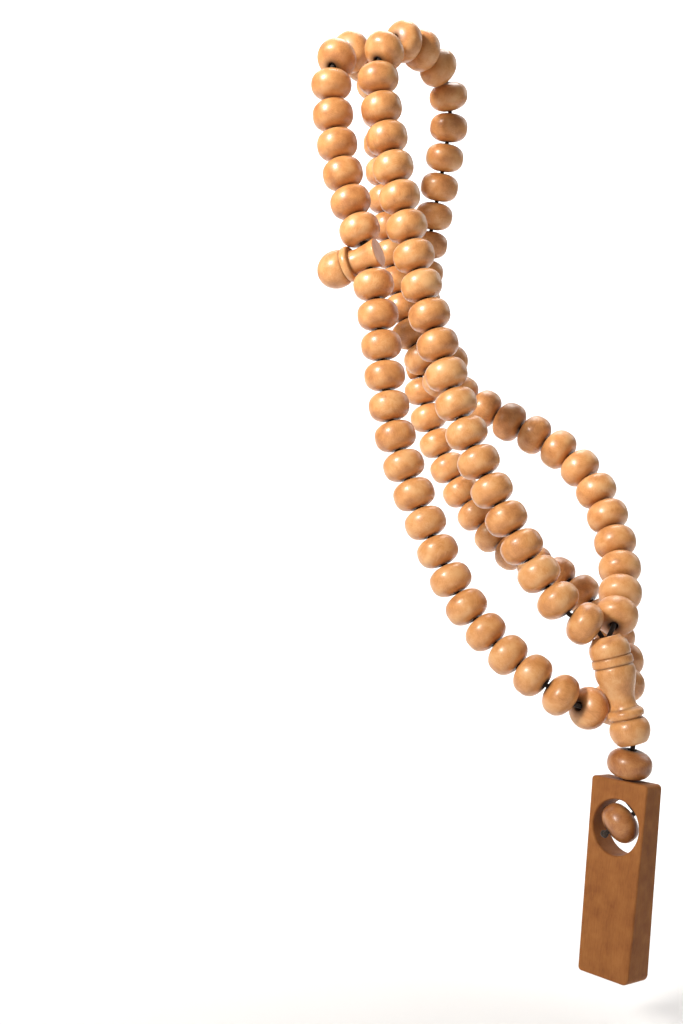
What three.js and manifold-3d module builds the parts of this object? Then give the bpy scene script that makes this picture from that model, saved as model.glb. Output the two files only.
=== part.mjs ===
// Misbaha: ninety-nine turned wooden beads on one string, draped over the top of an upright book.
//
// The string starts and ends in the imam, the long turned bead that gathers the loop. From there it
// runs up the front cover, over the top, down the back, round the spine, up the front cover again,
// over the top, down the back and round the spine to the imam. A divider bead sits after each
// thirty-three beads. A short tail hangs from the imam with a spacer bead and a wooden tag.
//
// Millimetres, +Z up, +X along the front cover towards the spine, +Y from the front cover to the
// back. The origin is on the top front edge of the book, between the two strands that cross it.

import * as THREE from 'three';
import { mergeVertices } from 'three/addons/utils/BufferGeometryUtils.js';
import Module from 'manifold-3d';

const wasm = await Module();
wasm.setup();

// Beads and string
const BEAD_DIAMETER = 9.3;
const BEAD_LENGTH = 6.65;
const BEAD_FULLNESS = 0.78; // 1 would be a true ellipse
const BORE_DIAMETER = 1.9;
const STRING_DIAMETER = 1.0;
const SECTION_COUNT = 33;
const SEAT_GAP = 0.27; // clear space between two beads on a straight stretch
const BEND_GAP = 2.2; // further space for each square radian of bend, because the rims meet first
const END_GAP = 2.0; // bare string between the imam's mouth and the nearest bead
const MOUTH_DEPTH = 1.4; // string end inside the imam's mouth
const SLACK = 2.6; // bare string that lets the bead before the back divider slide
const NECK_RADIUS = 1.8; // where the beads of a joined run meet

// Imam: length, bore and the mouth that takes both ends of the loop
const IMAM_TOP = new THREE.Vector3(58.2, -1.5, -128.2);
const IMAM_FOOT = new THREE.Vector3(63.9, -0.3, -150.4);
const IMAM_BORE_RADIUS = 1.5;
const IMAM_MOUTH_RADIUS = 2.5;
const IMAM_MOUTH_DEPTH = 2.0;

// Divider: a small finial whose spool is threaded crosswise
const DIVIDER_LENGTH = 15.4;
const DIVIDER_HOLE = 12.6; // from the tip of the head to the cross bore
const DIVIDER_SPOOL_RADIUS = 3.0; // at the cross bore
const DIVIDER_RISE = THREE.MathUtils.degToRad(15);

// Tail: spacer bead, tag with its window, and the stopper bead that the window shows
const SPACER_DIAMETER = 9.4;
const SPACER_LENGTH = 6.2;
const SPACER_PLACE = 0.56; // its share of the way from the imam's foot to the tag's top
const TAG_TOP = new THREE.Vector3(62.5, 0.1, -158.0);
const TAG_LENGTH = 41.0;
const TAG_WIDTH = [13.9, 12.5]; // at the top and at the foot
const TAG_THICKNESS = [5.3, 7.4];
const TAG_CORNER = 1.2;
const TAG_YAW = THREE.MathUtils.degToRad(-23);
const TAG_LEAN_SIDE = THREE.MathUtils.degToRad(1.8);
const TAG_LEAN_BACK = THREE.MathUtils.degToRad(3.3);
const WINDOW_RADIUS = 5.8;
const WINDOW_DROP = 9.8; // from the tag's top to the window's centre
const STOPPER_DIAMETER = 8.8;
const STOPPER_LENGTH = 6.2;
const STOPPER_CENTRE = new THREE.Vector3(-0.3, -0.7, -9.1);
const STOPPER_AXIS = new THREE.Vector3(0.5, 0.6, 0.62).normalize();
const KNOT_RADIUS = 0.9;

const WOOD = { color: 0xc58a57, roughness: 0.42, metalness: 0 };
const DARK_WOOD = { color: 0xa9683c, roughness: 0.5, metalness: 0 };
const THREAD = { color: 0x2c2118, roughness: 0.9, metalness: 0 };

// The loop's route, from the imam's mouth and back to it.
const LOOP_ROUTE = [
  [57.8, -1.9, -129.0],
  [57.0, -2.6, -127.2],
  [53.4, -4.3, -125.9],
  [49.6, -4.5, -122.0],
  [41.7, -4.5, -111.2],
  [26.4, -4.5, -81.0],
  [6.2, -4.5, -6.6],
  [6.2, -4.0, 0.8],
  [7.6, -0.6, 5.2],
  [11.6, 15.5, 5.6],
  [13.0, 22.0, 0.8],
  [11.6, 24.8, -9.0],
  [2.9, 31.3, -43.1],
  [3.6, 31.9, -74.3],
  [21.7, 31.6, -106.4],
  [43.5, 26.4, -118.2],
  [52.1, 25.2, -127.1],
  [55.7, 21.2, -132.0],
  [59.2, 12.4, -140.7],
  [56.7, 7.3, -143.8],
  [54.1, 0.0, -144.2],
  [49.8, -4.4, -140.8],
  [37.6, -4.5, -132.6],
  [28.2, -4.5, -122.6],
  [21.6, -4.5, -110.7],
  [11.0, -4.5, -84.6],
  [4.8, -4.5, -47.0],
  [-2.2, -4.5, -26.0],
  [-5.6, -4.6, -6.0],
  [-5.3, -4.3, 0.8],
  [-5.0, -0.6, 5.4],
  [-4.8, 16.5, 5.6],
  [-5.0, 21.6, 0.6],
  [-5.0, 22.4, -9.0],
  [6.2, 22.4, -63.0],
  [46.4, 23.0, -91.4],
  [57.4, 14.0, -114.0],
  [59.0, 2.8, -125.6],
  [58.8, -0.6, -127.6],
  [58.5, -1.3, -129.2],
].map((p) => new THREE.Vector3(...p));

const UP = new THREE.Vector3(0, 1, 0);

// Booleans

function toSolid(geometry) {
  const bare = geometry.clone();
  bare.deleteAttribute('normal');
  bare.deleteAttribute('uv');
  const merged = mergeVertices(bare, 1e-4);
  return new wasm.Manifold(new wasm.Mesh({
    numProp: 3,
    vertProperties: new Float32Array(merged.attributes.position.array),
    triVerts: new Uint32Array(merged.index.array),
  }));
}

function toGeometry(solid) {
  const mesh = solid.getMesh();
  const geometry = new THREE.BufferGeometry();
  geometry.setAttribute('position', new THREE.BufferAttribute(mesh.vertProperties, 3));
  geometry.setIndex(new THREE.BufferAttribute(mesh.triVerts, 1));
  geometry.computeVertexNormals();
  return geometry;
}

// Turned shapes: a profile of [radius, height] pairs, bottom to top, closed along the bore.

function turned(profile, sides) {
  const closed = [...profile, profile[0]];
  return new THREE.LatheGeometry(closed.map(([r, y]) => new THREE.Vector2(r, y)), sides);
}

function turnedSolid(profile, sides) {
  const foot = [0, profile[0][1]];
  const crown = [0, profile.at(-1)[1]];
  const points = [foot, ...profile, crown].map(([r, y]) => new THREE.Vector2(r, y));
  return new THREE.LatheGeometry(points, sides);
}

// A bead's outline is a full ellipse, squarer than a true one, that stops at the bore.
function beadProfile(diameter, length, bore, steps) {
  return Array.from({ length: steps + 1 }, (_, i) => {
    const angle = Math.PI / 2 * (2 * i / steps - 1);
    const radius = diameter / 2 * Math.abs(Math.cos(angle)) ** BEAD_FULLNESS;
    const height = length / 2 * Math.sign(angle) * Math.abs(Math.sin(angle)) ** BEAD_FULLNESS;
    return [Math.max(radius, bore / 2), height];
  });
}

// Seats along the loop

class Route {
  constructor(points, samples) {
    const curve = new THREE.CatmullRomCurve3(points, false, 'centripetal');
    this.points = curve.getPoints(samples);
    this.reach = [0];
    for (let i = 1; i <= samples; i++) {
      this.reach.push(this.reach[i - 1] + this.points[i].distanceTo(this.points[i - 1]));
    }
    this.length = this.reach.at(-1);
  }

  at(s) {
    const reach = THREE.MathUtils.clamp(s, 0, this.length);
    let low = 0;
    let high = this.reach.length - 1;
    while (high - low > 1) {
      const middle = (low + high) >> 1;
      if (this.reach[middle] <= reach) low = middle;
      else high = middle;
    }
    const share = (reach - this.reach[low]) / (this.reach[high] - this.reach[low]);
    return this.points[low].clone().lerp(this.points[high], share);
  }

  direction(s) {
    const step = 0.4;
    return this.at(s + step).sub(this.at(s - step)).normalize();
  }

  // The clear space that two beads need where they meet, from how far the string turns there.
  gap(s) {
    const bend = this.direction(s - BEAD_LENGTH / 2).angleTo(this.direction(s + BEAD_LENGTH / 2));
    return SEAT_GAP + BEND_GAP * bend * bend;
  }

  // How far along the route a straight piece that starts at s ends.
  chordEnd(s, length) {
    const start = this.at(s);
    let low = s;
    let high = s + 2 * length;
    for (let i = 0; i < 40; i++) {
      const middle = (low + high) / 2;
      if (this.at(middle).distanceTo(start) < length) low = middle;
      else high = middle;
    }
    return low;
  }
}

// Every seat is a straight length of string between two joints, with one bead or divider on it.
function layOutSeats(route) {
  const kinds = Array.from({ length: 3 }, () => Array(SECTION_COUNT).fill('bead'));
  const order = [...kinds[0], 'divider', ...kinds[1], 'divider', ...kinds[2]];
  const slackBefore = SECTION_COUNT - 1;
  const joints = [0];
  const seats = [];
  let s = END_GAP;
  order.forEach((kind, index) => {
    if (index === slackBefore) {
      joints.push(s);
      s = route.chordEnd(s, SLACK);
    }
    joints.push(s);
    const length = kind === 'bead' ? BEAD_LENGTH : 2 * DIVIDER_SPOOL_RADIUS;
    const before = (index === 0 ? SEAT_GAP : route.gap(s)) / 2;
    const span = before + length + route.gap(s + length + SEAT_GAP) / 2;
    const end = route.chordEnd(s, span);
    const [from, to] = [route.at(s), route.at(end)];
    const share = (before + length / 2) / span;
    seats.push({ kind, from, to, share, middle: from.clone().lerp(to, share) });
    s = end;
  });
  joints.push(s, route.length - MOUTH_DEPTH, route.length);
  return { seats, joints: joints.map((reach) => route.at(reach)), spare: route.length - s };
}

function heading(seat) {
  return seat.to.clone().sub(seat.from).normalize();
}

// A string is drawn straight from joint to joint, so that it runs down the middle of every bore.
class JointedPath extends THREE.Curve {
  constructor(joints) {
    super();
    this.joints = joints;
  }

  getPointAt(t, target = new THREE.Vector3()) {
    return target.copy(this.joints[Math.round(t * (this.joints.length - 1))]);
  }

  getTangentAt(t, target = new THREE.Vector3()) {
    const last = this.joints.length - 1;
    const here = Math.round(t * last);
    const joint = this.joints[here];
    const into = joint.clone().sub(this.joints[Math.max(here - 1, 0)]).normalize();
    const out = this.joints[Math.min(here + 1, last)].clone().sub(joint).normalize();
    return target.copy(into).add(out).normalize();
  }
}

function tube(joints, diameter, sides) {
  const section = new THREE.Shape(Array.from({ length: sides }, (_, i) => {
    const angle = 2 * Math.PI * i / sides;
    return new THREE.Vector2(Math.cos(angle), Math.sin(angle)).multiplyScalar(diameter / 2);
  }));
  return new THREE.ExtrudeGeometry(section, {
    extrudePath: new JointedPath(joints),
    steps: joints.length - 1,
    bevelEnabled: false,
  });
}

// Named meshes

const misbaha = new THREE.Group();

function addMesh(parent, name, geometry, finish) {
  const mesh = new THREE.Mesh(geometry, new THREE.MeshStandardMaterial(finish));
  mesh.name = name;
  parent.add(mesh);
  return mesh;
}

function pointAlong(object, position, direction) {
  object.position.copy(position);
  object.quaternion.setFromUnitVectors(UP, direction);
  return object;
}

const beadName = (number) => `bead_${String(number).padStart(2, '0')}`;

function addBead(number, seat) {
  const profile = beadProfile(BEAD_DIAMETER, BEAD_LENGTH, BORE_DIAMETER, 4);
  const mesh = addMesh(misbaha, beadName(number), turned(profile, 8), WOOD);
  pointAlong(mesh, seat.middle, heading(seat));
}

// A run of neighbours that share one node: the beads meet at short necks, with one bore. The run
// is turned straight, one unit of height for each seat, and then laid along its seats.
function addJoinedRun(first, seats) {
  const bead = beadProfile(BEAD_DIAMETER, BEAD_LENGTH, BORE_DIAMETER, 4);
  const last = seats.length - 1;
  const outline = seats.flatMap((seat, i) => {
    const height = (h) => i + seat.share + h / seat.from.distanceTo(seat.to);
    const points = bead.map(([r, h]) => [r, height(h)]);
    if (i > 0) points[0] = [NECK_RADIUS, i];
    return i < last ? points.slice(0, -1) : points;
  });
  for (let i = last; i > 0; i--) outline.push([BORE_DIAMETER / 2, i]);
  const name = `beads_${first}_to_${first + last}`;
  addMesh(misbaha, name, layAlong(turned(outline, 8), seats), WOOD);
}

function layAlong(geometry, seats) {
  const turns = [new THREE.Quaternion().setFromUnitVectors(UP, heading(seats[0]))];
  for (let i = 1; i < seats.length; i++) {
    const bend = new THREE.Quaternion();
    bend.setFromUnitVectors(heading(seats[i - 1]), heading(seats[i]));
    turns.push(bend.multiply(turns[i - 1]));
  }
  const position = geometry.attributes.position;
  for (let k = 0; k < position.count; k++) {
    const height = position.getY(k);
    const joint = Math.round(height);
    const i = Math.min(Math.floor(height), seats.length - 1);
    const turn = turns[i].clone();
    const atJoint = Math.abs(height - joint) < 1e-6 && joint > 0 && joint < seats.length;
    if (atJoint) turn.copy(turns[joint - 1]).slerp(turns[joint], 0.5);
    const spot = atJoint ? seats[joint].from.clone()
      : seats[i].from.clone().lerp(seats[i].to, height - i);
    spot.add(new THREE.Vector3(position.getX(k), 0, position.getZ(k)).applyQuaternion(turn));
    position.setXYZ(k, spot.x, spot.y, spot.z);
  }
  geometry.computeVertexNormals();
  return geometry;
}

// Heights are measured up from the imam's top, so its foot is at minus its length.
function addImam() {
  const length = IMAM_TOP.distanceTo(IMAM_FOOT);
  const outline = [
    [IMAM_BORE_RADIUS, -length],
    [2.9, -length],
    [3.8, -length + 1.2],
    [4.2, -length + 2.8],
    [3.9, -length + 4.2],
    [3.0, -length + 5.4], // groove above the foot bulb
    [3.6, -length + 5.7],
    [3.75, -length + 6.6],
    [3.3, -length + 7.3],
    [2.6, -length + 8.6], // neck
    [2.7, -length + 9.8],
    [3.5, -length + 12.2],
    [4.15, -length + 14.0],
    [4.2, -length + 15.4],
    [3.9, -length + 16.6], // groove under the ring
    [4.3, -length + 16.9],
    [4.35, -length + 18.2],
    [3.9, -length + 18.7], // groove under the head
    [4.3, -length + 19.2],
    [4.3, -length + 20.8],
    [3.5, -length + 22.5],
    [IMAM_MOUTH_RADIUS, 0],
    [IMAM_BORE_RADIUS, -IMAM_MOUTH_DEPTH],
  ];
  const mesh = addMesh(misbaha, 'imam', turned(outline, 16), WOOD);
  pointAlong(mesh, IMAM_TOP, IMAM_TOP.clone().sub(IMAM_FOOT).normalize());
}

// The head is at the top of the outline. The cross bore follows the string through the spool.
function addDivider(name, seat, headDirection) {
  const outline = [
    [3.3, -DIVIDER_LENGTH],
    [3.2, -DIVIDER_LENGTH + 0.6],
    [2.95, -DIVIDER_LENGTH + 2.6],
    [2.75, -9.6],
    [2.9, -9.0],
    [3.8, -8.9],
    [4.05, -8.0],
    [3.8, -7.2],
    [3.5, -7.0],
    [4.15, -5.8],
    [4.25, -4.5],
    [3.8, -2.3],
    [2.3, -0.7],
  ];
  const place = pointAlong(new THREE.Object3D(), new THREE.Vector3(), headDirection);
  place.position.copy(seat.middle).addScaledVector(headDirection, DIVIDER_HOLE);
  place.updateMatrix();
  const reach = heading(seat).multiplyScalar(BEAD_LENGTH);
  const ends = [seat.middle.clone().sub(reach), seat.middle.clone().add(reach)];
  const blank = toSolid(turnedSolid(outline, 12).applyMatrix4(place.matrix));
  const body = toGeometry(blank.subtract(toSolid(tube(ends, BORE_DIAMETER, 8))));
  body.applyMatrix4(place.matrix.clone().invert());
  const mesh = addMesh(misbaha, name, body, WOOD);
  mesh.position.copy(place.position);
  mesh.quaternion.copy(place.quaternion);
}

// The spacer bead hangs between the imam's foot and the tag.
function addSpacer() {
  const profile = beadProfile(SPACER_DIAMETER, SPACER_LENGTH, BORE_DIAMETER, 6);
  const mesh = addMesh(misbaha, 'spacer_bead', turned(profile, 12), WOOD);
  const centre = IMAM_FOOT.clone().lerp(TAG_TOP, SPACER_PLACE);
  pointAlong(mesh, centre, IMAM_FOOT.clone().sub(TAG_TOP).normalize());
}

// Tail. The tag's frame has X across its width, Y through its thickness and Z up its length.

const tail = new THREE.Group();
tail.position.copy(TAG_TOP);
tail.rotation.set(-TAG_LEAN_BACK, TAG_LEAN_SIDE, TAG_YAW, 'ZYX');
misbaha.add(tail);
tail.updateMatrixWorld();

function tagOutline() {
  const half = TAG_WIDTH[0] / 2;
  const c = TAG_CORNER;
  const corners = [
    [half - c, -TAG_LENGTH + c, -Math.PI / 2],
    [half - c, -c, 0],
    [-half + c, -c, Math.PI / 2],
    [-half + c, -TAG_LENGTH + c, Math.PI],
  ];
  const shape = new THREE.Shape();
  corners.forEach(([x, y, start]) => shape.absarc(x, y, c, start, start + Math.PI / 2, false));
  shape.closePath();
  const window = new THREE.Path();
  window.absarc(0, -WINDOW_DROP, WINDOW_RADIUS, 0, 2 * Math.PI, true);
  shape.holes.push(window);
  return shape;
}

// The slab gets narrower and thicker from its top to its foot.
function taper(slab) {
  const position = slab.attributes.position;
  for (let i = 0; i < position.count; i++) {
    const share = -position.getZ(i) / TAG_LENGTH;
    const change = ([top, foot]) => THREE.MathUtils.lerp(1, foot / top, share);
    position.setX(i, position.getX(i) * change(TAG_WIDTH));
    position.setY(i, position.getY(i) * change(TAG_THICKNESS));
  }
}

function addTag() {
  const slab = new THREE.ExtrudeGeometry(tagOutline(), {
    depth: TAG_THICKNESS[0],
    bevelEnabled: false,
    curveSegments: 5,
  });
  slab.translate(0, 0, -TAG_THICKNESS[0] / 2);
  slab.rotateX(Math.PI / 2);
  taper(slab);
  const ends = [new THREE.Vector3(0, 0, 1), new THREE.Vector3(0, 0, -WINDOW_DROP)];
  const tag = toSolid(slab).subtract(toSolid(tube(ends, BORE_DIAMETER, 8)));
  addMesh(tail, 'tag', toGeometry(tag), DARK_WOOD);
}

function addStopper() {
  const profile = beadProfile(STOPPER_DIAMETER, STOPPER_LENGTH, BORE_DIAMETER, 6);
  const mesh = addMesh(tail, 'stopper_bead', turned(profile, 10), WOOD);
  pointAlong(mesh, STOPPER_CENTRE, STOPPER_AXIS);
}

// The tail string hangs from the imam's bore, goes down through spacer and tag, bends over in the
// window, runs through the stopper bead and ends in a knot.
function addTailString() {
  const alongStopper = (reach) => STOPPER_CENTRE.clone().addScaledVector(STOPPER_AXIS, reach);
  const knotAt = alongStopper(-STOPPER_LENGTH / 2 - KNOT_RADIUS);
  const intoImam = IMAM_TOP.clone().sub(IMAM_FOOT).normalize();
  const joints = [
    tail.worldToLocal(IMAM_FOOT.clone().add(intoImam)),
    tail.worldToLocal(IMAM_FOOT.clone()),
    new THREE.Vector3(0, 0, 0),
    new THREE.Vector3(0, 0, WINDOW_RADIUS - WINDOW_DROP),
    alongStopper(STOPPER_LENGTH / 2 + 0.9),
    alongStopper(STOPPER_LENGTH / 2 + 0.2),
    knotAt,
  ];
  const knot = new THREE.SphereGeometry(KNOT_RADIUS, 10, 7).translate(...knotAt.toArray());
  const string = toSolid(tube(joints, STRING_DIAMETER, 8)).add(toSolid(knot));
  addMesh(tail, 'string_tail', toGeometry(string), THREAD);
}

// Assembly

const { seats, joints } = layOutSeats(new Route(LOOP_ROUTE, 4000));
const beadSeats = seats.filter((seat) => seat.kind === 'bead');
const [backDividerSeat, frontDividerSeat] = seats.filter((seat) => seat.kind === 'divider');

const JOINED_RUNS = [[24, 32], [34, 49], [75, 99]];
const isJoined = (number) => JOINED_RUNS.some(([first, last]) => number >= first && number <= last);

beadSeats.forEach((seat, index) => {
  if (!isJoined(index + 1)) addBead(index + 1, seat);
});
JOINED_RUNS.forEach(([first, last]) => addJoinedRun(first, beadSeats.slice(first - 1, last)));

const headLeft = new THREE.Vector3(-Math.cos(DIVIDER_RISE), 0, -Math.sin(DIVIDER_RISE));
addDivider('divider_front', frontDividerSeat, headLeft);
const backward = new THREE.Vector3(0, 1, 0);
const headDown = heading(backDividerSeat).cross(backward).normalize();
addDivider('divider_back', backDividerSeat, headDown);

addImam();
addMesh(misbaha, 'string_loop', tube(joints, STRING_DIAMETER, 8), THREAD);
addSpacer();
addTag();
addStopper();
addTailString();

export default misbaha;
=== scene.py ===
import math
import random

import bmesh
import bpy
from mathutils import Matrix, Quaternion, Vector


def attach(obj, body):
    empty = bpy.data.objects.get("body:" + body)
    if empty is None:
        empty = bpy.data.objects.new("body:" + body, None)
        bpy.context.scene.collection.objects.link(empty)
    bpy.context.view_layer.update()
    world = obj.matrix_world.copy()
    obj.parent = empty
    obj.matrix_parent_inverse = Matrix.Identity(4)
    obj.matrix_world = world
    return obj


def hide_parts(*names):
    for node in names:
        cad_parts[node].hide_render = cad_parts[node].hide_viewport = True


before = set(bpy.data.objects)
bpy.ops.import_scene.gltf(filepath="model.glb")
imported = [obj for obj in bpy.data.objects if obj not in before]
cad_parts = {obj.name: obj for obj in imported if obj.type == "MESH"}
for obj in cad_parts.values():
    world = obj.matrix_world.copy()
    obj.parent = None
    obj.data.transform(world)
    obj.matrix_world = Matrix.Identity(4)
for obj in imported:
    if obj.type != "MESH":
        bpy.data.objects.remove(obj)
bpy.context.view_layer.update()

MM = 0.001
random.seed(33)

# Beads and string, the same sizes as in the frame, in millimetres until a mesh is made.
BEAD_DIAMETER = 9.3
BEAD_LENGTH = 6.65
BORE_RADIUS = 0.95
STRING_DIAMETER = 1.0
SECTION_COUNT = 33
SEAT_GAP = 0.27
BEND_GAP = 2.2
END_GAP = 2.0
MOUTH_DEPTH = 1.4
SLACK = 2.6
SPOOL_RADIUS = 3.0
IMAM_TOP = Vector((58.2, -1.5, -128.2))
IMAM_FOOT = Vector((63.9, -0.3, -150.4))
SPACER_DIAMETER, SPACER_LENGTH, SPACER_PLACE = 9.4, 6.2, 0.56
TAG_TOP = Vector((62.5, 0.1, -158.0))
TAG_ANGLES = (math.radians(-3.3), math.radians(1.8), math.radians(-23))
TAG_LENGTH = 41.0
TAG_WIDTH = (13.9, 12.5)
TAG_THICKNESS = (5.3, 7.4)
WINDOW_RADIUS, WINDOW_DROP = 5.8, 9.8
STOPPER_DIAMETER, STOPPER_LENGTH = 8.8, 6.2
STOPPER_CENTRE = Vector((-0.3, -0.7, -9.1))
STOPPER_AXIS = Vector((0.5, 0.6, 0.62)).normalized()
DIVIDER_RISE = math.radians(15)
DIVIDER_HOLE = 12.6
KNOT_RADIUS = 0.9

# How square a bead's outline is: 2 is an ellipse, and more is squarer. Beyond a bend of
# STRONG_BEND radians between neighbours, a bead takes the rounder one.
BEAD_POWER = 2.56
BENT_BEAD_POWER = 2.3
TAIL_BEAD_POWER = 2.4
STRONG_BEND = 0.4
BEAD_SIDES, IMAM_SIDES, DIVIDER_SIDES = 44, 96, 72

# Outlines of the turned pieces as [radius, height], with a point given twice where an edge is
# sharp. The imam's heights are above its foot, its mouth's are from its top, and the divider's
# are from the top of its head.
IMAM_BORE = 1.5
IMAM_GROOVES = (5.35, 7.6, 16.6, 18.5)
IMAM_OUTLINE = [
    (1.5, 0.5), (1.6, 0.06), (1.9, 0.0), (1.9, 0.0), (2.7, 0.0), (2.95, 0.12), (3.35, 0.55),
    (3.9, 1.5), (4.2, 2.7), (4.14, 3.7), (3.75, 4.7), (3.1, 5.35),
    (3.1, 5.35), (3.2, 5.5), (3.62, 5.75), (3.78, 6.3), (3.66, 6.9), (3.25, 7.35), (2.92, 7.6),
    (2.92, 7.6), (2.66, 8.3), (2.58, 9.1), (2.72, 10.1), (3.15, 11.4), (3.7, 12.8), (4.1, 14.2),
    (4.24, 15.2), (4.12, 16.1), (3.86, 16.6),
    (3.86, 16.6), (4.2, 16.75), (4.32, 17.2), (4.32, 17.8), (4.2, 18.35), (3.9, 18.5),
    (3.9, 18.5), (4.12, 18.75), (4.26, 19.5), (4.2, 20.6), (3.84, 21.6), (3.2, 22.4),
]
IMAM_MOUTH = [(2.8, -0.02), (2.5, -0.12), (2.35, -0.4), (1.65, -1.9), (1.5, -2.3)]
DIVIDER_GROOVES = (-8.98, -7.02)
DIVIDER_OUTLINE = [
    (0.01, -15.39), (0.6, -15.4), (2.9, -15.4), (2.9, -15.4), (3.12, -15.38),
    (3.25, -15.2), (3.22, -14.9), (3.05, -14.0), (2.85, -12.9), (2.7, -11.6), (2.62, -10.4),
    (2.68, -9.5), (2.8, -8.98), (2.8, -8.98), (3.5, -8.95), (3.86, -8.75), (4.05, -8.2),
    (4.05, -7.75), (3.88, -7.25), (3.5, -7.02), (3.5, -7.02), (3.7, -6.85), (4.05, -6.2),
    (4.25, -5.2), (4.25, -4.3), (4.05, -3.2), (3.55, -2.1), (2.7, -1.05), (1.6, -0.35),
    (0.6, -0.05), (0.01, 0),
]

# The tag's softened edge, its four corners' radii from the lower right one round, and where in
# the timber it was cut.
TAG_EDGE = 0.42
TAG_CORNERS = (1.5, 0.9, 0.8, 0.9)
TAG_GRAIN = (21, -9, 5)

# Camera, floor and main light. Places are in metres, angles in radians and the lens in
# millimetres, and the shift is a share of the picture.
CAMERA_PLACE = Vector((0.119, -0.2501, -0.1138))
CAMERA_YAW, CAMERA_PITCH, CAMERA_ROLL = (math.radians(a) for a in (26.2, -0.95, 0.48))
CAMERA_LENS, CAMERA_SHIFT = 42.19, 0.0713
FLOOR, FLOOR_END, FLOOR_CURVE = -0.212, 1.6, 0.8
KEY_PLACE = (-0.28, -0.78, 0.36)

LOOP_ROUTE = [
    (57.8, -1.9, -129.0),
    (57.0, -2.6, -127.2),
    (53.4, -4.3, -125.9),
    (49.6, -4.5, -122.0),
    (41.7, -4.5, -111.2),
    (26.4, -4.5, -81.0),
    (6.2, -4.5, -6.6),
    (6.2, -4.0, 0.8),
    (7.6, -0.6, 5.2),
    (11.6, 15.5, 5.6),
    (13.0, 22.0, 0.8),
    (11.6, 24.8, -9.0),
    (2.9, 31.3, -43.1),
    (3.6, 31.9, -74.3),
    (21.7, 31.6, -106.4),
    (43.5, 26.4, -118.2),
    (52.1, 25.2, -127.1),
    (55.7, 21.2, -132.0),
    (59.2, 12.4, -140.7),
    (56.7, 7.3, -143.8),
    (54.1, 0.0, -144.2),
    (49.8, -4.4, -140.8),
    (37.6, -4.5, -132.6),
    (28.2, -4.5, -122.6),
    (21.6, -4.5, -110.7),
    (11.0, -4.5, -84.6),
    (4.8, -4.5, -47.0),
    (-2.2, -4.5, -26.0),
    (-5.6, -4.6, -6.0),
    (-5.3, -4.3, 0.8),
    (-5.0, -0.6, 5.4),
    (-4.8, 16.5, 5.6),
    (-5.0, 21.6, 0.6),
    (-5.0, 22.4, -9.0),
    (6.2, 22.4, -63.0),
    (46.4, 23.0, -91.4),
    (57.4, 14.0, -114.0),
    (59.0, 2.8, -125.6),
    (58.8, -0.6, -127.6),
    (58.5, -1.3, -129.2),
]

UP = Vector((0, 0, 1))


def add_object(name, data):
    piece = bpy.data.objects.new(name, data)
    bpy.context.scene.collection.objects.link(piece)
    return piece


def settled_mesh(piece):
    """A piece's mesh with its modifiers, or a curve's bevel, made real."""
    bpy.context.view_layer.update()
    return bpy.data.meshes.new_from_object(
        piece.evaluated_get(bpy.context.evaluated_depsgraph_get()))


# Camera, at the height and angle that the object is seen from.

def make_camera():
    data = bpy.data.cameras.new("camera")
    data.lens = CAMERA_LENS
    data.sensor_width = 36
    data.sensor_fit = "AUTO"
    data.shift_y = CAMERA_SHIFT
    data.clip_start = 0.01
    data.clip_end = 20
    camera = add_object("camera", data)
    turn = (Matrix.Rotation(CAMERA_YAW, 4, "Z")
            @ Matrix.Rotation(math.pi / 2 + CAMERA_PITCH, 4, "X")
            @ Matrix.Rotation(CAMERA_ROLL, 4, "Z"))
    camera.matrix_world = Matrix.Translation(CAMERA_PLACE) @ turn
    bpy.context.scene.camera = camera


# The route: a centripetal spline through the points, and seats laid out along it.

def spline(points, samples):
    pts = [Vector(p) for p in points]
    last = len(pts) - 1

    def at(t):
        position = last * t
        i = min(int(position), last - 1)
        w = position - i
        p1, p2 = pts[i], pts[i + 1]
        p0 = pts[i - 1] if i > 0 else p1 * 2 - p2
        p3 = pts[i + 2] if i + 2 <= last else p2 * 2 - p1
        d0, d1, d2 = ((b - a).length_squared ** 0.25 for a, b in ((p0, p1), (p1, p2), (p2, p3)))
        t1 = ((p1 - p0) / d0 - (p2 - p0) / (d0 + d1) + (p2 - p1) / d1) * d1
        t2 = ((p2 - p1) / d1 - (p3 - p1) / (d1 + d2) + (p3 - p2) / d2) * d1
        c2 = (p2 - p1) * 3 - t1 * 2 - t2
        c3 = (p1 - p2) * 2 + t1 + t2
        return p1 + t1 * w + c2 * w * w + c3 * w * w * w

    return [at(k / samples) for k in range(samples + 1)]


class Route:
    def __init__(self, points, samples=4000):
        self.points = spline(points, samples)
        self.reach = [0.0]
        for a, b in zip(self.points, self.points[1:]):
            self.reach.append(self.reach[-1] + (b - a).length)
        self.length = self.reach[-1]

    def at(self, s):
        s = min(max(s, 0.0), self.length)
        low, high = 0, len(self.reach) - 1
        while high - low > 1:
            middle = (low + high) // 2
            if self.reach[middle] <= s:
                low = middle
            else:
                high = middle
        share = (s - self.reach[low]) / (self.reach[high] - self.reach[low])
        return self.points[low].lerp(self.points[high], share)

    def direction(self, s):
        return (self.at(s + 0.4) - self.at(s - 0.4)).normalized()

    def gap(self, s):
        half = BEAD_LENGTH / 2
        bend = self.direction(s - half).angle(self.direction(s + half))
        return SEAT_GAP + BEND_GAP * bend * bend

    def chord_end(self, s, length):
        start, low, high = self.at(s), s, s + 2 * length
        for _ in range(40):
            middle = (low + high) / 2
            if (self.at(middle) - start).length < length:
                low = middle
            else:
                high = middle
        return low


class Seat:
    def __init__(self, kind, start, end, share):
        self.kind = kind
        self.start, self.end = start, end
        self.middle = start.lerp(end, share)
        self.heading = (end - start).normalized()


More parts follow.
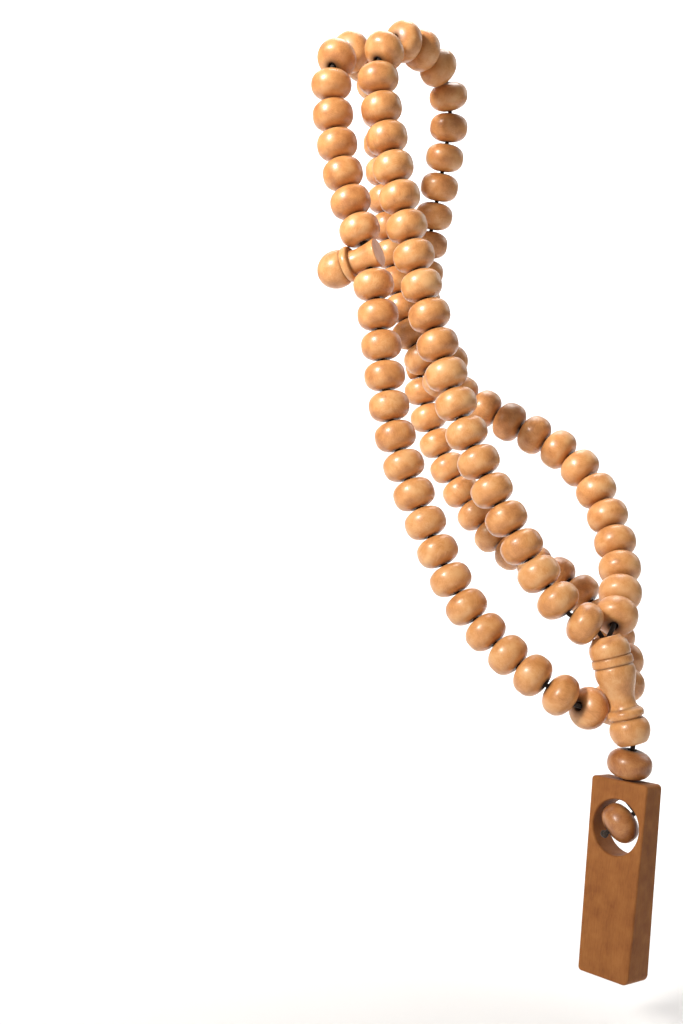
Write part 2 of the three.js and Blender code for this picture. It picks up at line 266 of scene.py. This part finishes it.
def lay_out_seats(route):
    section = ["bead"] * SECTION_COUNT
    order = section + ["divider"] + section + ["divider"] + section
    joints, seats, s = [0.0], [], END_GAP
    for index, kind in enumerate(order):
        if index == SECTION_COUNT - 1:
            joints.append(s)
            s = route.chord_end(s, SLACK)
        joints.append(s)
        length = BEAD_LENGTH if kind == "bead" else 2 * SPOOL_RADIUS
        before = (SEAT_GAP if index == 0 else route.gap(s)) / 2
        span = before + length + route.gap(s + length + SEAT_GAP) / 2
        end = route.chord_end(s, span)
        seats.append(Seat(kind, route.at(s), route.at(end), (before + length / 2) / span))
        s = end
    joints += [s, route.length - MOUTH_DEPTH, route.length]
    return seats, [route.at(j) for j in joints]


# Meshes. Every point keeps its place in its own piece of wood, so that the grain follows the
# piece, and how deep it lies in a groove or at a bore, so that the painted shade there, and a
# rougher finish, follow the turning.

def smooth_profile(points, steps):
    """A finer outline through the [radius, height] points, which keeps repeated points sharp."""
    fine = []
    last = len(points) - 1
    for i in range(last):
        p1, p2 = Vector(points[i]), Vector(points[i + 1])
        if (p2 - p1).length < 1e-6:
            continue
        p0 = Vector(points[i - 1]) if i > 0 else p1
        p3 = Vector(points[i + 2]) if i + 2 <= last else p2
        m1 = (p2 - p0) * 0.5 if (p1 - p0).length > 1e-6 else (p2 - p1)
        m2 = (p3 - p1) * 0.5 if (p3 - p2).length > 1e-6 else (p2 - p1)
        length = (p2 - p1).length
        m1 = m1.normalized() * length if m1.length else m1
        m2 = m2.normalized() * length if m2.length else m2
        for k in range(steps):
            t = k / steps
            fine.append((2*t**3 - 3*t**2 + 1) * p1 + (t**3 - 2*t**2 + t) * m1
                        + (-2*t**3 + 3*t**2) * p2 + (t**3 - t**2) * m2)
    fine.append(Vector(points[last]))
    return [(p.x, p.y) for p in fine]


def bead_outline(diameter, length, bore, power, steps=22):
    """A turned bead from its lower bore edge to its upper one, with softened bore edges."""
    radius, half = diameter / 2, length / 2
    outline = []
    for k in range(steps + 1):
        angle = math.pi / 2 * (2 * k / steps - 1)
        c, s = math.cos(angle), math.sin(angle)
        r = radius * abs(c) ** (2 / power)
        h = half * math.copysign(abs(s) ** (2 / power), s)
        outline.append((r, h))
    outline = [(r, h) for r, h in outline if r > bore + 0.28]
    tip = outline[-1][1]
    crown = [(bore + 0.2, tip + 0.05), (bore + 0.05, tip - 0.02), (bore, tip - 0.2)]
    foot = [(r, -h) for r, h in reversed(crown)]
    return foot + outline + crown


def add_attributes(mesh, grain, tone, dirt):
    """grain is a flat list of coordinates, and tone and the painted shade have one value for each
    vertex.
    """
    for name, kind, key, values in (
            ("grain", "FLOAT_VECTOR", "vector", grain),
            ("tone", "FLOAT", "value", tone), ("dirt", "FLOAT", "value", dirt)):
        mesh.attributes.new(name, kind, "POINT").data.foreach_set(key, values)
    mesh.polygons.foreach_set("use_smooth", [True] * len(mesh.polygons))


class Wood:
    """Gathers turned or built pieces into one mesh, with their grain and shade as attributes."""

    def __init__(self, name):
        self.name = name
        self.verts, self.faces, self.grain, self.tone, self.dirt = [], [], [], [], []

    def lathe(self, outline, place, sides, grain_place, tone, dirt, bore=None):
        """outline is [radius, height] pairs. It closes on itself through the bore."""
        first = len(self.verts)
        rings = list(outline)
        if bore is not None:
            low, high = outline[0][1], outline[-1][1]
            rings += [(bore, low + (high - low) * f) for f in (0.75, 0.5, 0.25)]
        count = len(rings)
        for r, h in rings:
            for k in range(sides):
                a = 2 * math.pi * k / sides
                local = Vector((r * math.cos(a), r * math.sin(a), h))
                self.verts.append(place @ local)
                self.grain.append(grain_place @ local)
                self.tone.append(tone)
                self.dirt.append(dirt(r, h))
        for i in range(count):
            j = (i + 1) % count
            if bore is None and j == 0:
                break
            for k in range(sides):
                n = (k + 1) % sides
                self.faces.append((first + i * sides + k, first + i * sides + n,
                                   first + j * sides + n, first + j * sides + k))
        if bore is None:
            self.faces.append(tuple(first + k for k in reversed(range(sides))))
            top = first + (count - 1) * sides
            self.faces.append(tuple(top + k for k in range(sides)))

    def build(self):
        mesh = bpy.data.meshes.new(self.name)
        mesh.from_pydata([v * MM for v in self.verts], [], self.faces)
        add_attributes(mesh, [c for g in self.grain for c in g], self.tone, self.dirt)
        mesh.validate()
        return add_object(self.name, mesh)


def placed(position, direction, roll=0.0):
    turn = UP.rotation_difference(direction).to_matrix().to_4x4()
    return Matrix.Translation(position) @ turn @ Matrix.Rotation(roll, 4, "Z")


def random_grain():
    """Where in the timber a piece was cut: a random spot, with its grain near the bore's line."""
    tilt = Quaternion((random.uniform(-1, 1), random.uniform(-1, 1), 0), random.uniform(0.1, 1.3))
    shift = Vector((random.uniform(-60, 60), random.uniform(-60, 60), random.uniform(-60, 60)))
    return Matrix.Translation(shift) @ tilt.to_matrix().to_4x4()


# Painted shade at a bead's bore mouths, where neighbours meet, and fully dark inside its bore.
def bead_painted_shade(length, bore):
    def dirt(r, h):
        mouth = max(0.0, 1 - (r - bore) / 1.5) if abs(h) > length / 2 - 1.6 else 0.0
        return min(1.0, mouth + (1.0 if r <= bore * 1.02 else 0.0))
    return dirt


def add_bead(wood, middle, heading, power, diameter=BEAD_DIAMETER, length=BEAD_LENGTH):
    size = 1 + random.uniform(-0.02, 0.0)
    outline = bead_outline(diameter * size, length * (1 + random.uniform(-0.015, 0.005)),
                           BORE_RADIUS, power + random.uniform(-0.08, 0.04))
    wood.lathe(outline, placed(middle, heading, random.uniform(0, 6)), BEAD_SIDES,
               random_grain(), random.uniform(-1, 1), bead_painted_shade(length, BORE_RADIUS), BORE_RADIUS)


# Materials

def node_maker(material):
    """Clears a material, and gives a function that adds a node with its inputs set or linked."""
    material.use_nodes = True
    tree = material.node_tree
    tree.nodes.clear()

    def node(kind, inputs=None, **settings):
        made = tree.nodes.new(kind)
        for key, value in settings.items():
            setattr(made, key, value)
        for key, value in (inputs or {}).items():
            if isinstance(value, bpy.types.NodeSocket):
                tree.links.new(value, made.inputs[key])
            else:
                made.inputs[key].default_value = value
        return made

    return node


def srgb(r, g, b):
    def line(c):
        c /= 255
        return c / 12.92 if c <= 0.04045 else ((c + 0.055) / 1.055) ** 2.4
    return (line(r), line(g), line(b), 1)


def ramp(node, fac, stops):
    made = node("ShaderNodeValToRGB", {"Fac": fac})
    elements = made.color_ramp.elements
    while len(elements) < len(stops):
        elements.new(0.5)
    for element, (position, colour) in zip(elements, stops):
        element.position = position
        element.color = colour
    return made.outputs["Color"]


def wood_material(name, light, middle, dark, painted_shade_colour, rough, coat, bump, ring_share, fibre_share,
                  specular=0.5):
    material = bpy.data.materials.new(name)
    node = node_maker(material)
    grain = node("ShaderNodeAttribute", attribute_name="grain").outputs["Vector"]
    tone = node("ShaderNodeAttribute", attribute_name="tone").outputs["Fac"]
    dirt = node("ShaderNodeAttribute", attribute_name="dirt").outputs["Fac"]

    stretched = node("ShaderNodeMapping", {"Vector": grain, "Scale": (1, 1, 0.16)}).outputs[0]
    warp = node("ShaderNodeTexNoise", {"Vector": stretched, "Scale": 0.22,
                                       "Detail": 3.0}).outputs["Color"]
    bent = node("ShaderNodeVectorMath", {0: stretched, 1: warp, 2: warp},
                operation="MULTIPLY_ADD")
    rings = node("ShaderNodeTexWave", {"Vector": bent.outputs[0], "Scale": 0.42,
                                       "Distortion": 3.2, "Detail": 3.0, "Detail Scale": 1.4},
                 wave_type="RINGS", rings_direction="Z", wave_profile="SAW").outputs["Fac"]
    cloud = node("ShaderNodeTexNoise", {"Vector": grain, "Scale": 0.30, "Detail": 4.0,
                                        "Roughness": 0.55}).outputs["Fac"]
    fibre_place = node("ShaderNodeMapping", {"Vector": grain, "Scale": (1, 1, 0.10)}).outputs[0]
    fibre = node("ShaderNodeTexNoise", {"Vector": fibre_place, "Scale": 4.2, "Detail": 5.0,
                                        "Roughness": 0.62}).outputs["Fac"]
    fleck_place = node("ShaderNodeMapping", {"Vector": grain, "Scale": (1, 1, 0.22)}).outputs[0]
    fleck = node("ShaderNodeTexVoronoi", {"Vector": fleck_place, "Scale": 2.6},
                 feature="F1").outputs["Distance"]

    def mixed(a, b, factor):
        return node("ShaderNodeMix", {"Factor": factor, 2: a, 3: b}, data_type="FLOAT").outputs[0]

    figure = mixed(cloud, rings, ring_share)
    figure = mixed(figure, fibre, fibre_share)
    toned = node("ShaderNodeMath", {0: tone, 1: 0.055}, operation="MULTIPLY").outputs[0]
    figure = node("ShaderNodeMath", {0: figure, 1: toned}, operation="ADD").outputs[0]
    colour = ramp(node, figure, [(0.33, dark), (0.50, middle), (0.66, light)])

    flecks = ramp(node, fleck, [(0.06, (1, 1, 1, 1)), (0.16, (0, 0, 0, 1))])
    flecks = node("ShaderNodeMath", {0: flecks, 1: 0.30}, operation="MULTIPLY").outputs[0]
    stained = node("ShaderNodeMix", {"Factor": flecks, 6: colour, 7: dark}, data_type="RGBA")
    # Painted shade: grooves, bore mouths, bores and the tag's window are darkened towards a
    # near-black brown.
    painted_shade_amount = node("ShaderNodeMath", {0: dirt, 1: 0.85}, operation="MULTIPLY").outputs[0]
    painted_shade_mix = node("ShaderNodeMix", {0: painted_shade_amount, 6: stained.outputs[2], 7: painted_shade_colour}, data_type="RGBA")

    gloss = node("ShaderNodeMapRange", {"Value": fibre, "From Min": 0.25, "From Max": 0.75,
                                        "To Min": rough - 0.07, "To Max": rough + 0.10})
    worn = node("ShaderNodeMath", {0: dirt, 1: 0.25}, operation="MULTIPLY").outputs[0]
    gloss = node("ShaderNodeMath", {0: gloss.outputs[0], 1: worn}, operation="ADD").outputs[0]
    relief = node("ShaderNodeMath", {0: fibre, 1: flecks}, operation="SUBTRACT").outputs[0]
    soft = node("ShaderNodeBump", {"Height": relief, "Strength": bump, "Distance": 0.00012})
    shader = node("ShaderNodeBsdfPrincipled", {
        "Base Color": painted_shade_mix.outputs[2], "Roughness": gloss, "Normal": soft.outputs[0],
        "Coat Weight": coat, "Coat Roughness": 0.22, "IOR": 1.5, "Specular IOR Level": specular})
    node("ShaderNodeOutputMaterial", {0: shader.outputs[0]})
    return material


def thread_material():
    material = bpy.data.materials.new("thread")
    node = node_maker(material)
    place = node("ShaderNodeTexCoord").outputs["Object"]
    twist = node("ShaderNodeTexWave", {"Vector": place, "Scale": 1400.0, "Distortion": 1.5},
                 bands_direction="DIAGONAL").outputs["Fac"]
    fuzz = node("ShaderNodeTexNoise", {"Vector": place, "Scale": 3000.0}).outputs["Fac"]
    colour = ramp(node, twist, [(0.0, srgb(22, 15, 10)), (1.0, srgb(60, 42, 28))])
    both = node("ShaderNodeMath", {0: twist, 1: fuzz}, operation="ADD").outputs[0]
    bump = node("ShaderNodeBump", {"Height": both, "Strength": 0.5, "Distance": 0.0001})
    shader = node("ShaderNodeBsdfPrincipled", {
        "Base Color": colour, "Roughness": 0.85, "Normal": bump.outputs[0], "Sheen Weight": 0.2})
    node("ShaderNodeOutputMaterial", {0: shader.outputs[0]})
    return material


def finish_piece(piece, material, body, slot, *nodes):
    piece.data.materials.clear()
    piece.data.materials.append(material)
    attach(piece, body)
    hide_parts(*nodes)


# String

def rounded(points, cut):
    """The string's line with each corner taken in a short curve, in the middle of every bore."""
    line = [points[0]]
    for before, here, after in zip(points, points[1:], points[2:]):
        back, on = before - here, after - here
        reach = min(cut, back.length * 0.4, on.length * 0.4)
        a, b = here + back.normalized() * reach, here + on.normalized() * reach
        line += [a, a.lerp(here, 0.5).lerp(here.lerp(b, 0.5), 0.5), b]
    return line + [points[-1]]


def string_curve(name, points, diameter):
    data = bpy.data.curves.new(name, "CURVE")
    data.dimensions = "3D"
    data.bevel_depth = diameter / 2 * MM
    data.bevel_resolution = 4
    data.use_fill_caps = True
    line = data.splines.new("POLY")
    line.points.add(len(points) - 1)
    for point, place in zip(line.points, points):
        point.co = (*(place * MM), 1)
    return add_object(name, data)


make_camera()
seats, joints = lay_out_seats(Route(LOOP_ROUTE))
bead_seats = [seat for seat in seats if seat.kind == "bead"]
back_divider, front_divider = [seat for seat in seats if seat.kind == "divider"]

thread = thread_material()
# The fourth colour of each wood is its painted shade colour.
bead_wood = wood_material(
    "bead_wood", srgb(214, 162, 108), srgb(202, 140, 82), srgb(174, 112, 62), srgb(48, 25, 12),
    rough=0.40, coat=0.34, bump=0.20, ring_share=0.10, fibre_share=0.15)
# A darker wood for the spacer and stopper: partly their own darker colour, partly painted shade
# where they sit.
brown_wood = wood_material(
    "brown_wood", srgb(186, 130, 78), srgb(164, 104, 56), srgb(126, 74, 37), srgb(44, 23, 11),
    rough=0.40, coat=0.24, bump=0.22, ring_share=0.10, fibre_share=0.18)
tag_wood = wood_material(
    "tag_wood", srgb(158, 101, 52), srgb(144, 89, 43), srgb(126, 73, 33), srgb(40, 22, 10),
    rough=0.60, coat=0.0, bump=0.30, ring_share=0.03, fibre_share=0.42, specular=0.22)

line = rounded(joints, 1.2)
loop = string_curve("loop_string", line, STRING_DIAMETER)
finish_piece(loop, thread, "string", "thread", "string_loop")
loop_length = sum((b - a).length for a, b in zip(line, line[1:])) * MM


# Beads: one piece each, and one piece for each run that moves as one

def fullness(seat):
    """Where the string bends strongly, rounder rims keep neighbours clear of each other."""
    place = seats.index(seat)
    near = seats[max(place - 1, 0):place + 2]
    bend = max(seat.heading.angle(other.heading) for other in near)
    return BENT_BEAD_POWER if bend > STRONG_BEND else BEAD_POWER


def add_beads():
    for node_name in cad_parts:
        if not node_name.startswith("bead"):
            continue
        parts = node_name.split("_")
        first = int(parts[1])
        last = int(parts[-1])
        wood = Wood(("turned_" if first == last else "turned_run_") + "_".join(parts[1:]))
        for seat in bead_seats[first - 1:last]:
            add_bead(wood, seat.middle, seat.heading, fullness(seat))
        body = node_name if first == last else "string"
        finish_piece(wood.build(), bead_wood, body, "bead_wood", node_name)


# Imam and dividers, turned from finer outlines

def groove_painted_shade(grooves, bore=None, low=0.0, high=0.0):
    """Painted shade in the grooves, and at the ends of a bore from low to high where there is one.
    """
    def dirt(r, h):
        near = min(abs(h - g) for g in grooves)
        value = 0.5 * max(0.0, 1 - near / 0.4)
        if bore is None:
            return value
        if r < bore + 1.2 and (h > high - 1.2 or h < low + 0.8):
            value = max(value, 1 - (r - bore) / 1.2)
        return 1.0 if r <= bore * 1.05 else min(1.0, value)
    return dirt


def add_imam():
    length = (IMAM_TOP - IMAM_FOOT).length
    outline = [(r, h - length) for r, h in IMAM_OUTLINE] + IMAM_MOUTH
    wood = Wood("turned_imam")
    wood.lathe(smooth_profile(outline, 5), placed(IMAM_TOP, (IMAM_TOP - IMAM_FOOT).normalized()),
               IMAM_SIDES, random_grain(), 0.5,
               groove_painted_shade([h - length for h in IMAM_GROOVES], IMAM_BORE, -length, 0), IMAM_BORE)
    finish_piece(wood.build(), bead_wood, "imam", "bead_wood", "imam")


def drill(piece, start, end, radius):
    """Cut a bore through a piece, from start to end."""
    mesh = bpy.data.meshes.new("bit")
    form = bmesh.new()
    bmesh.ops.create_cone(form, cap_ends=True, segments=32, radius1=radius * MM,
                          radius2=radius * MM, depth=(end - start).length * MM)
    form.to_mesh(mesh)
    form.free()
    bit = add_object("bit", mesh)
    bit.matrix_world = placed((start + end) / 2 * MM, (end - start).normalized())
    cut = piece.modifiers.new("bore", "BOOLEAN")
    cut.object, cut.operation, cut.solver = bit, "DIFFERENCE", "EXACT"
    done = settled_mesh(piece)
    piece.modifiers.clear()
    piece.data = done
    bpy.data.objects.remove(bit)


def add_divider(name, node_name, seat, head):
    wood = Wood(name)
    wood.lathe(smooth_profile(DIVIDER_OUTLINE, 4), placed(seat.middle + head * DIVIDER_HOLE, head),
               DIVIDER_SIDES, random_grain(), 0.2, groove_painted_shade(DIVIDER_GROOVES))
    piece = wood.build()
    drill(piece, seat.middle - seat.heading * 7, seat.middle + seat.heading * 7, BORE_RADIUS)
    finish_piece(piece, bead_wood, node_name, "bead_wood", node_name)


# Tag: a slab with softened edges, a round window and a bore from its top into the window

def tag_place():
    x, y, z = TAG_ANGLES
    turn = (Matrix.Rotation(z, 4, "Z") @ Matrix.Rotation(y, 4, "Y") @ Matrix.Rotation(x, 4, "X"))
    return Matrix.Translation(TAG_TOP) @ turn


def tag_rings():
    """The slab's outline and its window's, both in millimetres from the middle of the top."""
    half = TAG_WIDTH[0] / 2
    corners = ((half, -TAG_LENGTH), (half, 0), (-half, 0), (-half, -TAG_LENGTH))
    outer = []
    for index, ((x, y), radius) in enumerate(zip(corners, TAG_CORNERS)):
        centre = (x - math.copysign(radius, x), y + (radius if index in (0, 3) else -radius))
        start = (index - 1) * math.pi / 2
        for k in range(9):
            a = start + math.pi / 2 * k / 8
            outer.append((centre[0] + radius * math.cos(a), centre[1] + radius * math.sin(a)))
    window = [(WINDOW_RADIUS * math.cos(-2 * math.pi * k / 64),
               -WINDOW_DROP + WINDOW_RADIUS * math.sin(-2 * math.pi * k / 64))
              for k in range(64)]
    return outer, window


def slab_mesh():
    """The slab as a bevelled curve made real, stood up and tapered to its foot."""
    data = bpy.data.curves.new("slab", "CURVE")
    data.dimensions = "2D"
    data.fill_mode = "BOTH"
    data.extrude = (TAG_THICKNESS[0] / 2 - TAG_EDGE) * MM
    data.bevel_depth = TAG_EDGE * MM
    data.offset = -TAG_EDGE * MM
    data.bevel_resolution = 5
    for ring in tag_rings():
        line = data.splines.new("POLY")
        line.points.add(len(ring) - 1)
        line.use_cyclic_u = True
        for point, (x, y) in zip(line.points, ring):
            point.co = (x * MM, y * MM, 0, 1)
    slab = add_object("slab", data)
    mesh = settled_mesh(slab)
    bpy.data.objects.remove(slab)
    mesh.transform(Matrix.Rotation(math.pi / 2, 4, "X"))
    for vertex in mesh.vertices:
        share = -vertex.co.z / MM / TAG_LENGTH
        vertex.co.x *= 1 + share * (TAG_WIDTH[1] / TAG_WIDTH[0] - 1)
        vertex.co.y *= 1 + share * (TAG_THICKNESS[1] / TAG_THICKNESS[0] - 1)
    form = bmesh.new()
    form.from_mesh(mesh)
    bmesh.ops.remove_doubles(form, verts=form.verts, dist=1e-6)
    bmesh.ops.recalc_face_normals(form, faces=form.faces)
    form.to_mesh(mesh)
    form.free()
    return mesh


def tag_painted_shade(spot):
    """Painted shade on the middle of the window's wall and in the string's bore."""
    middle = math.hypot(spot.x, spot.z + WINDOW_DROP)
    deep = max(0.0, 1 - abs(middle - WINDOW_RADIUS) / 0.3) * max(0, 1 - abs(spot.y) / 3.2)
    hole = 0.8 if math.hypot(spot.x, spot.y) < 1.05 and spot.z > -WINDOW_DROP else 0
    return max(0.45 * deep, hole)


def add_tag(place):
    mesh = slab_mesh()
    stand = Matrix.Translation(place.translation * MM) @ place.to_3x3().to_4x4()
    mesh.transform(stand)
    piece = add_object("slab_tag", mesh)
    drill(piece, place @ Vector((0, 0, 1)), place @ Vector((0, 0, -WINDOW_DROP)), BORE_RADIUS)
    mesh = piece.data
    back = stand.inverted()
    grain, dirt = [], []
    for vertex in mesh.vertices:
        spot = (back @ vertex.co) / MM
        grain += [c + cut for c, cut in zip(spot, TAG_GRAIN)]
        dirt.append(tag_painted_shade(spot))
    add_attributes(mesh, grain, [0.0] * len(mesh.vertices), dirt)
    even = piece.modifiers.new("even", "WEIGHTED_NORMAL")
    even.keep_sharp = True
    piece.data = settled_mesh(piece)
    piece.modifiers.clear()
    finish_piece(piece, tag_wood, "tag", "tag_wood", "tag")


def add_tail(place):
    spacer = Wood("turned_spacer")
    add_bead(spacer, IMAM_FOOT.lerp(TAG_TOP, SPACER_PLACE), (IMAM_FOOT - TAG_TOP).normalized(),
             TAIL_BEAD_POWER, SPACER_DIAMETER, SPACER_LENGTH)
    finish_piece(spacer.build(), brown_wood, "spacer", "bead_wood", "spacer_bead")

    axis = (place.to_3x3() @ STOPPER_AXIS).normalized()
    centre = place @ STOPPER_CENTRE
    stopper = Wood("turned_stopper")
    add_bead(stopper, centre, axis, TAIL_BEAD_POWER, STOPPER_DIAMETER, STOPPER_LENGTH)
    finish_piece(stopper.build(), brown_wood, "stopper", "bead_wood", "stopper_bead")

    top = WINDOW_RADIUS - WINDOW_DROP
    into = (IMAM_TOP - IMAM_FOOT).normalized()
    knot_at = centre - axis * (STOPPER_LENGTH / 2 + KNOT_RADIUS)
    points = [IMAM_FOOT + into, IMAM_FOOT, TAG_TOP, place @ Vector((0, 0, top)),
              centre + axis * (STOPPER_LENGTH / 2 + 0.9),
              centre + axis * (STOPPER_LENGTH / 2 + 0.2), knot_at]
    tail = string_curve("tail_string", rounded(points, 0.5), STRING_DIAMETER)
    finish_piece(tail, thread, "tag", "thread", "string_tail")
    knot = string_curve("tail_knot", [
        knot_at + place.to_3x3() @ (Vector((math.sin(t), math.sin(2 * t) * 0.55,
                                            math.cos(t * 1.5) * 0.8)) * 0.42)
        for t in (2 * math.pi * k / 24 for k in range(25))], 0.85)
    knot.data.materials.append(thread)
    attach(knot, "tag")


add_beads()
add_imam()
head_left = Vector((-math.cos(DIVIDER_RISE), 0, -math.sin(DIVIDER_RISE)))
add_divider("turned_divider_front", "divider_front", front_divider, head_left)
head_side = back_divider.heading.cross(Vector((0, 1, 0))).normalized()
add_divider("turned_divider_back", "divider_back", back_divider, head_side)
add_tag(tag_place())
add_tail(tag_place())


# Floor and light

def stage_material():
    material = bpy.data.materials.new("stage")
    node = node_maker(material)
    place = node("ShaderNodeTexCoord").outputs["Object"]
    cloud = node("ShaderNodeTexNoise", {"Vector": place, "Scale": 3.0}).outputs["Fac"]
    colour = ramp(node, cloud, [(0.3, (0.80, 0.80, 0.80, 1)), (0.7, (0.84, 0.84, 0.84, 1))])
    shader = node("ShaderNodeBsdfPrincipled", {"Base Color": colour, "Roughness": 0.8})
    node("ShaderNodeOutputMaterial", {0: shader.outputs[0]})
    return material


def add_stage():
    """A floor that curves up into a backdrop far behind, so that no edge shows."""
    profile = [(-3.0, FLOOR), (FLOOR_END, FLOOR)]
    profile += [(FLOOR_END + FLOOR_CURVE * math.sin(a), FLOOR + FLOOR_CURVE * (1 - math.cos(a)))
                for a in (math.pi / 2 * k / 16 for k in range(1, 17))]
    profile.append((2.4, 3.5))
    turn = Matrix.Rotation(CAMERA_YAW, 4, "Z")
    verts = [turn @ Vector((x, y, z)) for y, z in profile for x in (-4, 4)]
    faces = [(2 * i, 2 * i + 1, 2 * i + 3, 2 * i + 2) for i in range(len(profile) - 1)]
    mesh = bpy.data.meshes.new("stage")
    mesh.from_pydata(verts, [], faces)
    mesh.polygons.foreach_set("use_smooth", [True] * len(mesh.polygons))
    mesh.materials.append(stage_material())
    piece = add_object("stage", mesh)


def aim_light(data, place, target, power, colour):
    data.energy = power
    data.color = colour
    light = add_object(data.name, data)
    light.location = place
    light.rotation_euler = (Vector(target) - Vector(place)).to_track_quat("-Z", "Y").to_euler()


def add_light(name, place, target, size, power, colour):
    data = bpy.data.lights.new(name, "AREA")
    data.shape = "DISK"
    data.size = size
    aim_light(data, place, target, power, colour)


def add_spot(name, place, target, degrees, power, colour):
    data = bpy.data.lights.new(name, "SPOT")
    data.spot_size = math.radians(degrees)
    data.spot_blend = 1.0
    data.shadow_soft_size = 0.09
    aim_light(data, place, target, power, colour)


add_stage()
centre = (0.03, 0.0, -0.09)
add_light("key", KEY_PLACE, centre, 0.26, 5.9, (1.0, 0.965, 0.90))
add_light("top", (0.0, 0.25, 0.75), centre, 0.4, 3.0, (1.0, 0.98, 0.96))
add_light("fill", (0.75, -0.5, 0.1), centre, 0.9, 0.3, (1.0, 0.95, 0.88))
add_spot("upper", KEY_PLACE, (-0.01, 0.0, 0.0), 20, 48.0, (1.0, 0.97, 0.92))
add_light("back", (0.6, 0.9, 0.55), centre, 0.6, 2.2, (1.0, 0.98, 0.95))
add_light("backdrop", (-0.5, 0.9, 1.4), (-1.2, 2.1, 0.2), 2.0, 62.0, (1.0, 1.0, 1.0))

world = bpy.data.worlds.new("studio")
world.use_nodes = True
background = world.node_tree.nodes["Background"]
background.inputs[0].default_value = (1.0, 0.98, 0.95, 1)
background.inputs[1].default_value = 0.17
bpy.context.scene.world = world
bpy.context.scene.view_settings.view_transform = "Standard"
